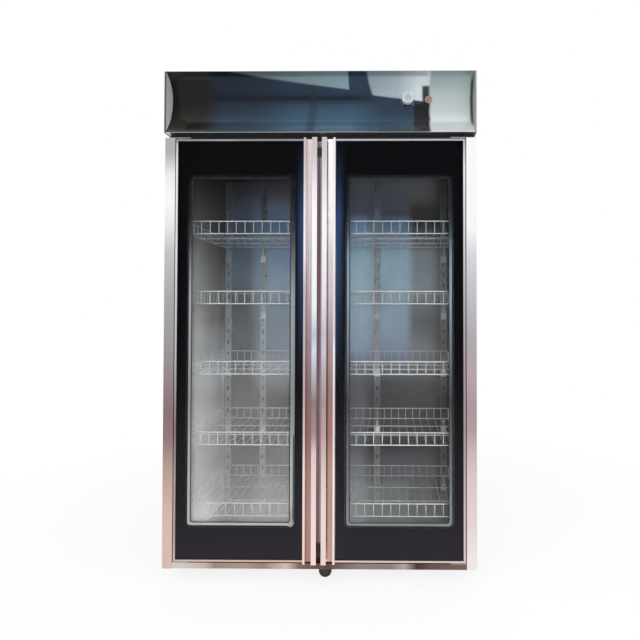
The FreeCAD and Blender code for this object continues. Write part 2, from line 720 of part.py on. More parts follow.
def door_rail(edge, sign):
    """Top (+1) or bottom (-1) rail: trim in front, flange behind the glass, hinge bore."""
    def at(step):
        return "%s - (%d) * (%s)" % (edge, sign, step)
    outline = [
        ("door_plane", edge, "edge_round"),
        (DOOR_BACK, edge),
        (DOOR_BACK, at("rear_flange")),
        (DOOR_BACK + " - rear_thick", at("rear_flange")),
        (DOOR_BACK + " - rear_thick", at("trim")),
        ("door_plane", at("trim")),
    ]
    bar = extruded("YZ_Plane", [outline], "-door_edge", "door_edge - handle_edge", "rail")
    low = at("pin_bite + bore_deep") if sign > 0 else edge + " - bore_deep"
    bore = rod("z", "pin_radius + pin_play", ("-(%s)" % PIVOT_X, PIVOT_Y, low), "pin_bite + 2 * bore_deep")
    return cut(bar, bore)


def door():
    """The left door, and the right one as its mirror image."""
    lip = box(("-door_edge", "-door_edge + trim"), ("door_plane", DOOR_BACK + " - rear_thick"),
              ("door_low + trim", "door_high - trim"))
    flange = box(("-door_edge", "-door_edge + rear_flange"), (DOOR_BACK + " - rear_thick", DOOR_BACK),
                 ("door_low + rear_flange", "door_high - rear_flange"))
    frame = group([door_rail("door_high", 1), door_rail("door_low", -1), joined([lip, flange])])

    pane_x = ("-door_edge + trim", "-handle_edge")
    pane_z = ("door_low + trim", "door_high - trim")
    front = "door_plane + glass_set"
    rear = DOOR_BACK + " - rear_thick"
    outer = box(pane_x, (front, front + " + outer_glass"), pane_z)
    inner = box(pane_x, (rear + " - inner_glass", rear), pane_z)

    def ring(grow, radius):
        left = "-win_out + spacer_show - (%s)" % grow
        right = "-win_in - spacer_show + (%s)" % grow
        low = "win_low + spacer_show - (%s)" % grow
        high = "win_high - spacer_show + (%s)" % grow
        return [(left, low, radius), (right, low, radius), (right, high, radius), (left, high, radius)]
    # the XZ plane's normal is -Y
    gap = "(%s - inner_glass) - (%s + outer_glass)" % (rear, front)
    rings = [ring("spacer_width", "win_radius - spacer_show + spacer_width"),
             ring("0", "win_radius - spacer_show")]
    spacer = extruded("XZ_Plane", rings, "-(%s - inner_glass)" % rear, gap, "spacer")

    seal = (DOOR_BACK, DOOR_BACK + " + gasket_thick")
    edge = "-door_edge + seal_inset"
    low = "door_low + seal_end"
    high = "door_high - seal_end"
    meet = "-door_gap_half - seal_meet"
    between = (edge + " + gasket_width", meet + " - gasket_width")
    gasket = group([
        box((edge, edge + " + gasket_width"), seal, (low, high)),
        box((meet + " - gasket_width", meet), seal, (low, high)),
        box(between, seal, (high + " - gasket_width", high)),
        box(between, seal, (low, low + " + gasket_width")),
    ])

    lip_front = "door_plane - lip_proud"
    web = "-door_gap_half - web_thick"
    lip_edge = "-door_gap_half - lip_width"
    section = [
        ("-handle_edge", "door_plane - rim_proud", "1"),
        ("-groove_edge", "door_plane - rim_proud", "1"),
        ("-groove_edge", "door_plane + groove_sink"),
        (web, "door_plane + groove_sink"),
        (web, lip_front + " + lip_thick"),
        (lip_edge, lip_front + " + lip_thick", "1"),
        (lip_edge, lip_front, "lip_ease"),
        ("-door_gap_half", lip_front, "lip_round"),
        ("-door_gap_half", DOOR_BACK),
        ("-handle_edge", DOOR_BACK),
    ]
    handle = extruded("XY_Plane", [section], "door_low", "door_high - door_low", "handle")

    for part, piece in (("door_frame", frame), ("door_outer_glass", outer), ("door_spacer", spacer),
                        ("door_inner_glass", inner), ("door_gasket", gasket), ("door_handle", handle)):
        node(part + "_left", piece)
        node(part + "_right", mirrored(piece))


# ---- baskets and their supports ---------------------------------------------------

def basket_panels():
    """The left top basket: a floor grid and four fences, all separate solids."""
    wide = "(basket_out - basket_in)"
    deep = "(basket_back - basket_front)"
    left = "-basket_out"
    base = "rim_top - fence"
    near = "basket_front + rim_wire"
    ends = (near, "basket_back - rim_wire")
    between = deep + " - 2 * rim_wire"
    floor = [rod("x", "rim_wire", (left, y, base), wide) for y in ends]
    for x in (left + " + side_inset", "-basket_in - side_inset"):
        floor.append(rod("y", "side_wire", (x, near, base), between))
    for y in ("basket_front + %s / 3" % deep, "basket_front + 2 * %s / 3" % deep):
        floor.append(rod("x", "cross_wire", (left + " + rim_wire", y, base), wide + " - 2 * rim_wire"))
    for index in range(1, int(number("rods")) + 1):
        x = "%s + %d * %s / (rods + 1)" % (left, index, wide)
        floor.append(rod("y", "rod_wire", (x, near, base + " + rod_lift"), between))
    panels = [joined(floor, "floor")]

    foot = base + " + rim_wire + weld_gap"
    tall = "fence - rim_wire - weld_gap"
    for y in ends:
        wires = [rod("x", "rim_wire", (left, y, "rim_top"), wide)]
        for index in range(int(number("rods")) + 2):
            x = "%s + end_inset + %d * (%s - 2 * end_inset) / (rods + 1)" % (left, index, wide)
            wires.append(rod("z", "rod_wire", (x, y, foot), tall))
        panels.append(joined(wires, "fence"))
    start = "basket_front + 2 * rim_wire + weld_gap"
    run = deep + " - 4 * rim_wire - 2 * weld_gap"
    for x in (left + " + rim_wire", "-basket_in - rim_wire"):
        wires = [rod("y", "rim_wire", (x, start, "rim_top"), run)]
        for index in range(1, int(number("side_rods")) + 1):
            y = "%s + (%d - 0.5) * (%s) / side_rods" % (start, index, run)
            wires.append(rod("z", "rod_wire", (x, y, foot), tall))
        panels.append(joined(wires, "fence"))
    return panels


def baskets():
    panels = basket_panels()
    for side, shift in (("left", "0"), ("right", "basket_out + basket_in")):
        for level in range(int(number("levels"))):
            place = (shift, "0", "-%d * level_pitch" % level)
            node("basket_%s_%d" % (side, level + 1), group(list(panels), "basket", place))


POSTS = ("post_a", "post_b", "post_c", "post_d")


def uprights():
    """Four perforated uprights on the back wall."""
    long = "(%s) - (%s)" % (CEILING, FLOOR)
    channel = [
        ("-upright_width / 2", "0"),
        ("-upright_width / 2", "-upright_thick"),
        ("upright_width / 2", "-upright_thick"),
        ("upright_width / 2", "0"),
        ("upright_width / 2 - upright_sheet", "0"),
        ("upright_width / 2 - upright_sheet", "-upright_thick + upright_sheet"),
        ("-upright_width / 2 + upright_sheet", "-upright_thick + upright_sheet"),
        ("-upright_width / 2 + upright_sheet", "0"),
    ]
    body = extruded("XY_Plane", [channel], FLOOR, long, "upright")
    pocket_sketch = body.newObject("Sketcher::SketchObject", "slot_sketch")
    pocket_sketch.AttachmentSupport = (plane_of(body, "XZ_Plane"), [""])
    pocket_sketch.MapMode = "FlatFace"
    first = "rim_top - fence - slot_drop"
    last = first + " + slot_high"
    draw(pocket_sketch, [("-slot_half", first), ("slot_half", first),
                         ("slot_half", last), ("-slot_half", last)])
    slot = body.newObject("PartDesign::Pocket", "slot")
    slot.Profile = pocket_sketch
    slot.Midplane = True
    tie(slot, Length="4 * upright_thick")
    doc.recompute()
    row = body.newObject("PartDesign::LinearPattern", "slot_row")
    row.Originals = [slot]
    row.Direction = (plane_of(body, "Z_Axis"), [""])
    row.Reversed = True
    tie(row, Length="(slots - 1) * slot_pitch", Occurrences="slots")
    body.Tip = row
    node("shelf_uprights", group([group([body], "post", (x, CHAMBER_BACK, "0")) for x in POSTS]))


def clips():
    """Clips on the uprights that reach forward under each basket."""
    wall = CHAMBER_BACK + " - upright_thick"
    low = "rim_top - clip_drop - clip_high / 2"
    under = "rim_top - fence - rim_wire"
    tip = "basket_back - clip_under"
    members = []
    for x in POSTS:
        plate = box((x + " - clip_half", x + " + clip_half"), (wall + " - clip_sheet", wall),
                    (low, low + " + clip_high"))
        reach = rod("y", "clip_arm", (x, tip, under + " - clip_arm - clip_gap"), "%s - (%s)" % (wall, tip))
        stem = box((x + " - stem_half", x + " + stem_half"), (wall + " - stem_thick", wall),
                   (low + " + clip_high / 2", under + " - clip_arm / 2"))
        members.append(joined([plate, reach, stem], "clip"))
    rows = [group(list(members), "clip_row", ("0", "0", "-%d * level_pitch" % level))
            for level in range(int(number("levels")))]
    node("shelf_clips", group(rows))


# ---- casters ----------------------------------------------------------------------

CASTERS = (
    ("front_left", "-caster_x", "caster_front", 0),
    ("front_right", "caster_x", "caster_front", 0),
    ("rear_left", "-caster_x", "caster_rear", 0),
    ("rear_right", "caster_x", "caster_rear", 0),
    ("front_middle", "0", "middle_y", -90),
)


def caster_pieces():
    """A caster about its swivel axis, trailing towards +Y: plate, fork and wheel."""
    top = "body_bottom"
    pad = box(both_ways("plate_half_x"), both_ways("plate_half_y"), (top + " - plate_thick", top))
    hole = rod("z", "kingpin_radius + pin_play", ("0", "0", top + " - through / 2"), "through")
    plate = cut(pad, hole)

    leg_in = "wheel_half + fork_gap"
    web_low = "2 * wheel_radius + tyre_gap"
    web_top = web_low + " + fork_sheet"
    front = "-fork_front"
    rear = "trail + fork_rear"
    web = box(both_ways(leg_in + " + fork_sheet"), (front, rear), (web_low, web_top))
    race = rod("z", "race_radius", ("0", "0", web_top),
               "body_bottom - plate_thick - race_gap - (%s)" % web_top)
    pin = rod("z", "kingpin_radius", ("0", "0", web_low), "body_bottom - kingpin_gap - (%s)" % web_low)
    drop = "wheel_radius - leg_low"
    leg = extruded("YZ_Plane", [[
        ("trail - leg_half", drop),
        ("trail + leg_half", drop),
        (rear, drop + " + leg_slope"),
        (rear, web_top),
        (front, web_top),
        (front, web_low + " - fork_skirt"),
        ("trail - fork_rear", drop + " + leg_slope"),
    ]], leg_in, "fork_sheet", "leg")
    head = leg_in + " + fork_sheet + axle_head"
    axle = rod("x", "axle_radius", ("-(%s)" % head, "trail", "wheel_radius"), "2 * (%s)" % head)
    fork = joined([web, race, pin, leg, mirrored(leg), axle], "fork")

    side = "wheel_half - dish"
    tread = "wheel_half - tread_set"
    inner = "wheel_radius - tread_in"
    half = [
        ("axle_radius + pin_play", "wheel_half"),
        ("hub_radius - hub_ease", "wheel_half"),
        ("hub_radius", side),
        (inner, side),
        (inner + " + tread_slope", tread),
        ("wheel_radius", tread, "tread_round"),
    ]
    other = [(corner[0], "-(%s)" % corner[1]) + corner[2:] for corner in half]
    tyre = turned(other + half[::-1], "wheel")
    tyre.Placement = Placement(Vector(), Rotation(Vector(0, 1, 0), 90))
    tie(tyre, Placement__Base__y="trail", Placement__Base__z="wheel_radius")
    return plate, fork, tyre


def casters():
    plate, fork, wheel = caster_pieces()
    node("caster_plates", group([group([plate], "plate", (x, y, "0"), turn) for _, x, y, turn in CASTERS]))
    for name, x, y, turn in CASTERS:
        node("caster_fork_" + name, group([fork], "fork", (x, y, "0"), turn))
        node("caster_wheel_" + name, group([wheel], "wheel", (x, y, "0"), turn))


# ---- build and write --------------------------------------------------------------

side_panel()
shell()
face_frame()
chamber()
header_box()
fascia()
controls()
services()
hinge_plates()
door()
baskets()
uprights()
clips()
casters()
doc.recompute()

bad = [thing.Name for thing in doc.Objects if {"Invalid", "Error"} & set(thing.State)]
if bad:
    raise RuntimeError("objects in error: " + ", ".join(bad))
for piece in NODES:
    if piece.Shape.isNull() or not piece.Shape.isValid():
        raise RuntimeError("no valid shape: " + piece.Label)
os.makedirs("parts", exist_ok=True)
for piece in NODES:
    piece.Shape.exportStep("parts/%s.step" % piece.Label)
    print("%-28s %2d solids %12.0f mm3" % (piece.Label, len(piece.Shape.Solids), piece.Shape.Volume))
whole = Part.makeCompound([piece.Shape for piece in NODES])
print(len(NODES), "nodes; box", whole.BoundBox)
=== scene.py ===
import json
import math

import bmesh
import bpy
from mathutils import Matrix, Vector


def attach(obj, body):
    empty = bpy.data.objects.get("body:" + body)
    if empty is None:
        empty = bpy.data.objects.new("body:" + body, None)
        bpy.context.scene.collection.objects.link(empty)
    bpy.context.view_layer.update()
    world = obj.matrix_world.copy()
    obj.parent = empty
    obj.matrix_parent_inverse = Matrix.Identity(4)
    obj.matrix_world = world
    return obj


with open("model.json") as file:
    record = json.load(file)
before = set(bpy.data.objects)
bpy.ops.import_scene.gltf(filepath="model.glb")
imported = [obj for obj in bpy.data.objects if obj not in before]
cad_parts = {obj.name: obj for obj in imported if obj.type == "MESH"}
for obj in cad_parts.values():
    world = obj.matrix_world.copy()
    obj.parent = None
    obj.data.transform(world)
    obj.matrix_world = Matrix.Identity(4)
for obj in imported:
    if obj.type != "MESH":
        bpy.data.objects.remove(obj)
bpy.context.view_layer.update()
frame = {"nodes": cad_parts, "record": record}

scene = bpy.context.scene
scene.view_settings.view_transform = "Standard"


# ---- camera -----------------------------------------------------------------------

def add_camera():
    data = bpy.data.cameras.new("camera")
    data.sensor_fit = "HORIZONTAL"
    data.sensor_width = 36
    data.lens = 27.96
    data.shift_x = -0.1069
    data.shift_y = -0.0356
    data.clip_end = 50
    camera = bpy.data.objects.new("camera", data)
    scene.collection.objects.link(camera)
    yaw = Matrix.Rotation(0.0093, 3, "Z")
    pitch = Matrix.Rotation(0.0164, 3, "X")
    roll = Matrix.Rotation(-0.0011, 3, "Y")
    turn = yaw @ pitch @ roll
    right, forward, up = turn.col[0], turn.col[1], turn.col[2]
    axes = Matrix((right, up, -forward)).transposed()
    camera.matrix_world = Matrix.Translation((0.2803, -2.180, 1.0662)) @ axes.to_4x4()
    scene.camera = camera


# ---- material helpers -------------------------------------------------------------

class Graph:
    """The nodes of a material or a world under construction."""

    def __init__(self, owner):
        owner.use_nodes = True
        self.nodes = owner.node_tree.nodes
        self.links = owner.node_tree.links

    def node(self, kind, inputs=None, **attributes):
        made = self.nodes.new("ShaderNode" + kind)
        for name, value in attributes.items():
            setattr(made, name, value)
        for key, value in (inputs or {}).items():
            socket = made.inputs[key]
            if isinstance(value, bpy.types.NodeSocket):
                self.links.new(value, socket)
            else:
                socket.default_value = value
        return made

    def math(self, operation, a, b=0.0):
        return self.node("Math", {0: a, 1: b}, operation=operation).outputs[0]

    def span(self, value, low, high, to_low=0.0, to_high=1.0, smooth=False):
        kind = "SMOOTHSTEP" if smooth else "LINEAR"
        return self.node("MapRange", {"Value": value, "From Min": low, "From Max": high, "To Min": to_low,
                                      "To Max": to_high}, interpolation_type=kind).outputs[0]

    def seen_white(self):
        """1 for the camera, in mirrors and through glass, 0 for the light that falls on things."""
        path = self.node("LightPath")
        seen = path.outputs["Is Camera Ray"]
        for more in ("Is Glossy Ray", "Is Transmission Ray"):
            seen = self.math("MAXIMUM", seen, path.outputs[more])
        return seen


class Paint(Graph):
    """A material under construction: one Principled shader and what feeds it."""

    def __init__(self, name):
        self.material = bpy.data.materials.new(name)
        super().__init__(self.material)
        self.shader = self.nodes["Principled BSDF"]
        self.output = self.nodes["Material Output"]
        self.place = self.node("TexCoord").outputs["Object"]

    def set(self, **values):
        for name, value in values.items():
            self.shader.inputs[name.replace("_", " ")].default_value = value

    def feed(self, name, source):
        self.links.new(source, self.shader.inputs[name])

    def scaled(self, scale):
        """Object coordinates, scaled axis by axis."""
        return self.node("Mapping", {"Vector": self.place, "Scale": scale}).outputs[0]

    def noise(self, scale, detail=3.0, rough=0.6, distort=0.0):
        return self.node("TexNoise", {"Vector": self.scaled(scale), "Scale": 1.0, "Detail": detail,
                                      "Roughness": rough, "Distortion": distort}).outputs["Fac"]

    def axis(self, name):
        """One object coordinate, in metres."""
        return self.node("SeparateXYZ", {0: self.place}).outputs[name]

    def ramp(self, value, stops):
        """Colours at places from 0 to 1."""
        made = self.node("ValToRGB", {"Fac": value})
        band = made.color_ramp
        while len(band.elements) < len(stops):
            band.elements.new(0.5)
        for element, (at, colour) in zip(band.elements, stops):
            element.position = at
            element.color = (*colour, 1)
        return made.outputs["Color"]

    def mix(self, share, a, b, kind="MIX"):
        made = self.nodes.new("ShaderNodeMix")
        made.data_type = "RGBA"
        made.blend_type = kind
        for socket, value in ((made.inputs[0], share), (made.inputs[6], a), (made.inputs[7], b)):
            if isinstance(value, bpy.types.NodeSocket):
                self.links.new(value, socket)
            else:
                socket.default_value = value if isinstance(value, float) else (*value, 1)
        return made.outputs[2]

    def dimmed(self, colour, level):
        """A colour times one number for all three channels."""
        grey = self.node("CombineColor", {0: level, 1: level, 2: level}).outputs[0]
        return self.mix(1.0, colour, grey, "MULTIPLY")

    def bump(self, height, strength, distance=0.001):
        made = self.node("Bump", {"Height": height, "Strength": strength, "Distance": distance})
        self.feed("Normal", made.outputs[0])

    def finish(self, surface):
        """The material, with another surface than its Principled shader alone."""
        self.links.new(surface, self.output.inputs["Surface"])
        return self.material


def tone(text):
    """The linear colour of a screen colour written as six hex digits."""
    out = []
    for at in (0, 2, 4):
        c = int(text[at:at + 2], 16) / 255
        out.append(c / 12.92 if c <= 0.04045 else ((c + 0.055) / 1.055) ** 2.4)
    return tuple(out)


def heights(p, value, stops):
    """A ramp whose stops are written as places in metres and screen colours."""
    low, high = stops[0][0], stops[-1][0]
    return p.ramp(p.span(value, low, high), [((at - low) / (high - low), tone(c)) for at, c in stops])


def brushed(p, colour, grain, rough, depth, tint=0.10, metallic=1.0):
    """Fine grain over a colour: streaks in shade, roughness and bump, and broad smears."""
    lines = p.noise(grain, 4, 0.7)
    p.feed("Base Color", p.dimmed(colour, p.span(lines, 0.3, 0.7, 1 - tint, 1 + tint)))
    p.set(Metallic=metallic)
    smears = p.noise((7, 7, 5), 3)
    p.feed("Roughness", p.math("ADD", p.span(lines, 0.3, 0.7, rough - 0.05, rough + 0.07),
                               p.span(smears, 0.4, 0.7, 0.0, 0.06)))
    p.bump(lines, depth, 0.0004)
    return p.material


def steel(name, stops, grain=(900, 900, 3), rough=0.28, depth=0.06, axis="Z"):
    """Brushed sheet whose colour drifts along an axis; its tables are mostly painted reflection and shade.
    """
    p = Paint(name)
    drift = p.math("MULTIPLY", p.math("SUBTRACT", p.noise((3, 3, 1.2), 2), 0.5), 0.06)
    colour = heights(p, p.math("ADD", p.axis(axis), drift), stops)
    return brushed(p, colour, grain, rough, depth)


def plain(name, colour, rough, metallic=0.0, variation=0.15, scale=60, depth=0.08):
    """Plastic, paint, rubber or plated metal with a faint mottle and texture."""
    p = Paint(name)
    patch = p.noise((scale / 8,) * 3, 3)
    fine = p.noise((scale * 12,) * 3, 3, 0.7)
    dark = tuple(c * (1 - variation) for c in colour)
    light = tuple(min(1, c * (1 + variation)) for c in colour)
    p.feed("Base Color", p.mix(patch, dark, light))
    p.feed("Roughness", p.span(patch, 0.3, 0.7, rough - 0.05, rough + 0.08))
    p.set(Metallic=metallic)
    p.bump(fine, depth, 0.0003)
    return p.material


# ---- materials --------------------------------------------------------------------

# painted reflections on the brushed posts along their height: pink and beige low down, grey and near white
# higher up; the right post is a paler painted copy of the same steel
LEFT_POST_REFLECTIONS = [(0.10, "dac2b8"), (0.24, "dcbeb6"), (0.38, "c9ab9f"), (0.47, "b09a90"), (0.56, "957b7b"),
             (0.66, "8f7578"), (0.75, "98838a"), (0.86, "9a959a"), (1.08, "adabae"), (1.27, "c8c8ca"),
             (1.37, "ededed"), (1.47, "fcfcfc"), (1.57, "f0f0f0"), (1.66, "b6b5b6")]
RIGHT_POST_REFLECTIONS = [(0.10, "f3ebe8"), (0.25, "e7d5d6"), (0.40, "dccccd"), (0.51, "ccbab9"), (0.60, "b39fa2"),
              (0.70, "b09ca1"), (0.80, "baa8af"), (0.95, "b2abb1"), (1.08, "c1c1c8"), (1.27, "dadae0"),
              (1.37, "fbfafb"), (1.66, "fdfcfd")]
# painted reflections on the handle profiles along their height: pink and brown low down, lavender and near
# white higher up; left and right are painted copies of one metal
LIP_LEFT = [(0.12, "f8e4da"), (0.28, "f2dedc"), (0.43, "e8d4cf"), (0.51, "dccbc9"), (0.58, "a89295"),
            (0.70, "918280"), (0.80, "bababc"), (0.89, "d6dcee"), (0.96, "c2c8da"), (1.05, "ecf4f8"),
            (1.20, "f6fcfc"), (1.40, "fdfefc"), (1.50, "f2f1fa"), (1.57, "e0e0e9"), (1.65, "cccbcc")]
LIP_RIGHT = [(0.12, "efddd6"), (0.28, "eddbd8"), (0.43, "dfcbc5"), (0.58, "c0a4a4"), (0.70, "ad9798"),
             (0.81, "bcb0b8"), (0.89, "d0c8d6"), (0.96, "c5c3cd"), (1.11, "e9e5ea"), (1.27, "f6f6f7"),
             (1.40, "fbf9fa"), (1.50, "eeeaee"), (1.65, "d0ccd0")]
GROOVE_LEFT = [(0.12, "aa837a"), (0.28, "aa8580"), (0.43, "9e7b76"), (0.58, "8d665e"), (0.74, "836668"),
               (0.96, "9b8486"), (1.12, "b0a0a3"), (1.27, "beb2ba"), (1.42, "d1c3c6"), (1.65, "d2c6c2")]
GROOVE_RIGHT = [(0.12, "c59d8f"), (0.28, "b8938a"), (0.43, "b69285"), (0.58, "a2746e"), (0.74, "967570"),
                (0.96, "a79495"), (1.12, "c4b4be"), (1.27, "d0c4c5"), (1.42, "e9e2e2"), (1.65, "f5f0ec")]
RIM_LEFT = [(0.12, "f8dcd2"), (0.43, "f8e0d6"), (0.58, "d8c0b4"), (0.74, "c4aaae"), (0.96, "c6bcc2"),
            (1.12, "cac0c8"), (1.20, "e2dcdf"), (1.27, "f8f4f8"), (1.42, "efedf2"), (1.65, "c9c0c3")]
RIM_RIGHT = [(0.12, "f0e6e4"), (0.43, "f4eae8"), (0.58, "e6dada"), (0.74, "e1dcdf"), (0.89, "f0eef6"),
             (0.96, "ded8e0"), (1.12, "e5e1e7"), (1.20, "eeebf3"), (1.34, "f9f8ff"), (1.65, "f3eff3")]


# distances from the middle plane where the lip, the groove and the rim start, and half of each blend
LIP_INNER, GROOVE_INNER, RIM_INNER = 0.0090, 0.0287, 0.0520
LIP_BLEND, BLEND = 0.0002, 0.0003


def handle_metal(name, lip, groove, rim):
    """Extruded profile: from the middle out, lip, finger groove and rim have their own painted reflections.
    """
    p = Paint(name)
    x = p.math("ABSOLUTE", p.axis("X"))
    z = p.axis("Z")
    in_groove = p.span(x, GROOVE_INNER - BLEND, GROOVE_INNER + BLEND)
    in_rim = p.span(x, RIM_INNER - BLEND, RIM_INNER + BLEND)
    colour = p.mix(in_groove, heights(p, z, lip), heights(p, z, groove))
    colour = p.mix(in_rim, colour, heights(p, z, rim))
    # the lip's flank beside the gap between the doors: a muted brown of painted shade and reflection
    flank = p.math("MULTIPLY", p.span(x, LIP_INNER + LIP_BLEND, LIP_INNER - LIP_BLEND),
                   p.span(p.axis("Y"), -0.2985, -0.296))
    colour = p.mix(flank, colour, (0.50, 0.34, 0.37))
    made = brushed(p, colour, (1100, 1100, 2.5), 0.2, 0.05, 0.06)
    only_groove = p.math("MULTIPLY", in_groove, p.math("SUBTRACT", 1.0, in_rim))
    p.feed("Metallic", p.span(only_groove, 0, 1, 1.0, 0.6))
    return made


# painted reflections on the polished fascia along its height, each table for a stretch from left to right:
# brown, navy, blue, dusk, slate beside the knob, pale at the right end; the last table runs along its width
FASCIA_BROWN = [(1.732, "5a5856"), (1.737, "625e5a"), (1.748, "3c3a35"), (1.80, "34332f"), (1.86, "242321"),
                (1.94, "262625"), (1.954, "3e3e3e"), (1.96, "484848")]
FASCIA_NAVY = [(1.732, "44505c"), (1.737, "5a6874"), (1.748, "54697a"), (1.764, "4c6478"), (1.777, "41566a"),
               (1.80, "38495b"), (1.855, "2a3948"), (1.884, "19202c"), (1.91, "253242"), (1.96, "263246")]
FASCIA_BLUE = [(1.732, "52677a"), (1.737, "6c8296"), (1.748, "6f8fa7"), (1.764, "5c7993"), (1.777, "4f6d88"),
               (1.80, "405f78"), (1.826, "3f5b74"), (1.855, "384c60"), (1.884, "141e2b"), (1.90, "28384c"),
               (1.96, "324558")]
FASCIA_DUSK = [(1.732, "38424c"), (1.737, "425060"), (1.748, "40556a"), (1.764, "455a6e"), (1.777, "3d5166"),
               (1.80, "304456"), (1.826, "2c3f50"), (1.855, "2c3b4a"), (1.89, "2c3a48"), (1.96, "2c3a48")]
FASCIA_SLATE = [(1.735, "3a3a40"), (1.75, "36363a"), (1.80, "222226"), (1.85, "1e1e22"), (1.88, "262c30"),
                (1.93, "3a464c")]
FASCIA_PALE = [(1.732, "c4c8ca"), (1.737, "e4e8ea"), (1.75, "e6eaec"), (1.78, "dce4e3"), (1.83, "c0cbc9"),
               (1.90, "aab8b8"), (1.96, "93a3a4")]
FASCIA_UPPER_REFLECTION = [(-0.3, "7c8b93"), (0.1, "8ca3ab"), (0.2, "93a2ad"), (0.3, "a0afb6"), (0.38, "ccd6da")]


def mirror_fascia():
    """Polished concave sheet in painted reflections: brown at the left, navy and blue in the middle, pale at
    the right.
    """
    p = Paint("mirror_fascia")
    z = p.axis("Z")
    wave = p.math("MULTIPLY", p.math("SUBTRACT", p.noise((2.2, 2, 9), 3, 0.55, 0.6), 0.5), 0.02)
    x = p.math("ADD", p.axis("X"), wave)
    colour = heights(p, z, FASCIA_BROWN)
    colour = p.mix(p.span(x, -0.47, -0.38, smooth=True), colour, heights(p, z, FASCIA_NAVY))
    colour = p.mix(p.span(x, -0.30, -0.05, smooth=True), colour, heights(p, z, FASCIA_BLUE))
    colour = p.mix(p.span(x, 0.10, 0.26, smooth=True), colour, heights(p, z, FASCIA_DUSK))
    # a dark vertical streak of painted reflection
    dark_reflected_streak = p.math("MULTIPLY", p.span(x, -0.062, -0.045), p.span(x, -0.012, -0.03))
    colour = p.mix(p.math("MULTIPLY", dark_reflected_streak, 0.45), colour, tone("2a3038"))

    # the pale upper area, a painted reflection: two fields with sloping lower edges and a gap between them
    slope = p.math("SUBTRACT", z, p.math("MULTIPLY", p.math("SUBTRACT", x, 0.106), -0.109))
    first = p.math("MULTIPLY", p.span(slope, 1.912, 1.918), p.span(x, 0.110, 0.104))
    slope = p.math("ADD", z, p.math("MULTIPLY", x, 0.12))
    second = p.math("MULTIPLY", p.span(slope, 1.916, 1.922), p.span(x, 0.172, 0.186))
    lean = p.math("ADD", x, p.math("MULTIPLY", z, 0.4))
    second = p.math("MULTIPLY", second, p.span(lean, 0.955, 0.965))
    colour = p.mix(p.math("MAXIMUM", first, second), colour, heights(p, x, FASCIA_UPPER_REFLECTION))

    # the dark upright area beside the knob, wider in its lower part, and the pale field after it: painted
    # reflections
    from_left = p.math("ADD", x, p.span(z, 1.866, 1.852, 0.0, 0.035))
    upright = p.math("MULTIPLY", p.span(from_left, 0.392, 0.402), p.span(z, 1.930, 1.922))
    colour = p.mix(upright, colour, heights(p, z, FASCIA_SLATE))
    colour = p.mix(p.span(x, 0.420, 0.430), colour, heights(p, z, FASCIA_PALE))
    # a dark strip at the right end: painted shadow and reflection
    end = p.math("MULTIPLY", p.span(z, 1.755, 1.785), p.span(z, 1.962, 1.935))
    end = p.math("MULTIPLY", end, p.span(p.axis("X"), 0.580, 0.585, 0.0, 0.85))
    colour = p.mix(end, colour, tone("222a28"))

    # the painted reflections dimmed as a whole, more at the left than at the right
    p.feed("Base Color", p.dimmed(colour, p.span(x, -0.5, 0.3, 0.42, 0.68)))
    p.set(Metallic=0.45, Specular_IOR_Level=0.2)
    p.feed("Roughness", p.span(p.noise((3, 3, 3), 4), 0.3, 0.7, 0.08, 0.14))
    p.bump(p.noise((5, 5, 8), 2), 0.12, 0.002)
    return p.material


def cheek_skin():
    """Header cheeks: a front edge in painted shade and reflection, dark at the left and grey at the right,
    inner legs painted paler at the left than at the right and darker upwards, and plain sheet outside.
    """
    p = Paint("cheek_skin")
    edge = p.span(p.axis("Y"), -0.2890, -0.2902)
    z = p.axis("Z")
    # painted light and shade on the inner legs: the left one paler, both darker upwards
    left = heights(p, z, [(1.73, "cfd1cf"), (1.80, "bfc1bd"), (1.88, "bbbdb9"), (1.96, "b5b7b3")])
    right = heights(p, z, [(1.73, "b4b6b4"), (1.80, "a0a29e"), (1.88, "9a9c98"), (1.96, "94968f")])
    inner = p.mix(p.span(p.axis("X"), -0.01, 0.01), left, right)
    front = p.mix(p.span(p.axis("X"), -0.01, 0.01), tone("393a38"), tone("6a6c69"))
    colour = p.mix(edge, inner, front)
    outside = p.span(p.math("ABSOLUTE", p.axis("X")), 0.5975, 0.5985)
    made = brushed(p, p.mix(outside, colour, tone("d0cfd0")), (700, 700, 700), 0.3, 0.03, 0.05)
    p.feed("Metallic", p.math("MAXIMUM", outside, 0.08))
    return made


# painted light, shade and reflection on the chamber's steel along its height: the back pale at its foot,
# dark low down, blue higher up and dark at the top; the walls pale at the front and darker upwards and
# towards the back
BACK_LEFT = [(0.19, "c4c4c4"), (0.24, "747377"), (0.30, "545255"), (0.445, "3c3a3f"), (0.60, "2a292b"),
             (0.70, "848890"), (0.76, "a2adbc"), (0.84, "8595aa"), (0.99, "7e8e9d"), (1.15, "8ea6bc"),
             (1.31, "7692b0"), (1.47, "567898"), (1.55, "667a94"), (1.62, "5a5c6c"), (1.68, "505054")]
BACK_MIDDLE = [(0.19, "dce0e3"), (0.23, "bcbec6"), (0.37, "70737c"), (0.52, "7c797f"), (0.68, "5f616a"),
               (0.77, "6f7a8c"), (0.84, "97b0cf"), (0.99, "a7c8dc"), (1.15, "b2d2e8"), (1.31, "a9cfe3"),
               (1.42, "88b2d6"), (1.48, "6f99c8"), (1.52, "595e71"), (1.62, "76798a"), (1.68, "8a8c92")]
BACK_RIGHT = [(0.19, "94989a"), (0.23, "84888c"), (0.37, "363639"), (0.52, "504e4f"), (0.68, "444345"),
              (0.77, "6c6e74"), (0.84, "868b92"), (0.99, "585d64"), (1.15, "80919b"), (1.31, "84909a"),
              (1.40, "4c545e"), (1.47, "0c1016"), (1.55, "323338"), (1.62, "7c7c80"), (1.68, "8a8c92")]
